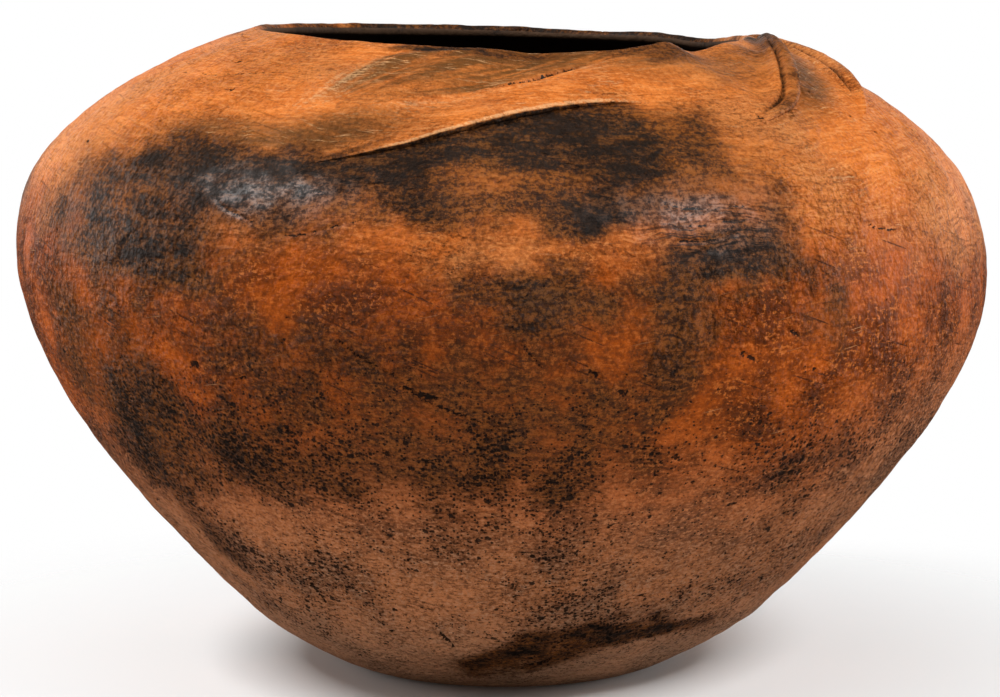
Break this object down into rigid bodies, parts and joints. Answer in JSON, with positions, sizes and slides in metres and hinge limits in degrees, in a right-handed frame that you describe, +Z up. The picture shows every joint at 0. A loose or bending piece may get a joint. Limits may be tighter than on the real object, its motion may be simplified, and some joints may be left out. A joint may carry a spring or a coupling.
{
  "type": "floor pot",
  "caption": "Wide, low-shouldered terracotta floor pot, hand built from lapped clay coils, with a flat foot, an open mouth and clay folds swept over its shoulder.",
  "frame": {"origin": "centre of the flat foot, on the surface that the pot stands on", "axes": "+Z up out of the mouth, -Y towards the front with the long sweeping fold, +X to the right of someone facing the front"},
  "size_m": [0.4994, 0.4995, 0.3305],
  "materials": {
    "matte_terracotta": "matte, pitted, low-fired clay",
    "burnished_terracotta": "burnished clay with smoke clouds",
    "smoked_terracotta": "smoke-blackened clay"
  },
  "bodies": {
    "root": {"base_pad": "matte_terracotta", "wall_coil_1": "matte_terracotta", "wall_coil_2": "matte_terracotta", "wall_coil_3": "matte_terracotta", "wall_coil_4": "matte_terracotta", "wall_coil_5": "burnished_terracotta", "wall_coil_6": "burnished_terracotta", "wall_coil_7": "burnished_terracotta", "wall_coil_8": "burnished_terracotta", "wall_coil_9": "burnished_terracotta", "lip_coil": "smoked_terracotta", "front_fold": "burnished_terracotta", "left_fold": "burnished_terracotta", "side_fold_1": "burnished_terracotta", "side_fold_2": "burnished_terracotta", "side_fold_3": "burnished_terracotta"}
  },
  "joints": []
}
